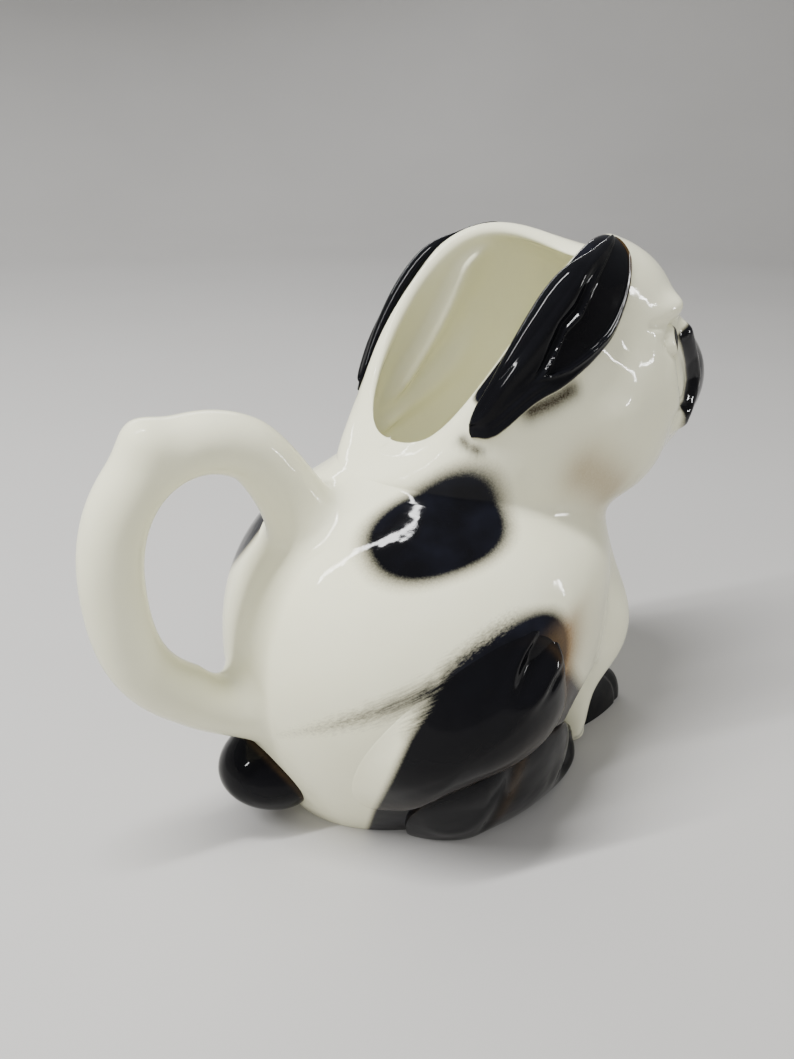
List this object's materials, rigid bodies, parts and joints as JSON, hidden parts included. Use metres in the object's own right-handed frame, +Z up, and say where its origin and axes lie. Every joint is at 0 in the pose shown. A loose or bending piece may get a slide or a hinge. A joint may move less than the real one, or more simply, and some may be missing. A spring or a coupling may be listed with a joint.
{
  "type": "rabbit cream jug",
  "caption": "Small glazed jug in the form of a crouching rabbit: hollow body and head, mouth between the laid-back ears, loop handle behind.",
  "frame": {"origin": "on the table plane, in the flat base under the middle of the body", "axes": "+X is the way the rabbit faces, +Y is its left side, +Z is up"},
  "size_m": [0.1573, 0.093, 0.1225],
  "materials": {
    "white_glaze": "glossy ivory glaze",
    "black_glaze": "glossy black glaze"
  },
  "bodies": {
    "root": {"body": "white_glaze", "head": "white_glaze", "right_ear": "black_glaze", "left_ear": "black_glaze", "handle": "white_glaze", "tail": "black_glaze", "right_haunch": "black_glaze", "left_haunch": "black_glaze", "right_hind_foot": "black_glaze", "left_hind_foot": "black_glaze", "right_foreleg": "white_glaze", "left_foreleg": "white_glaze", "right_forepaw": "black_glaze", "left_forepaw": "black_glaze"}
  },
  "joints": []
}
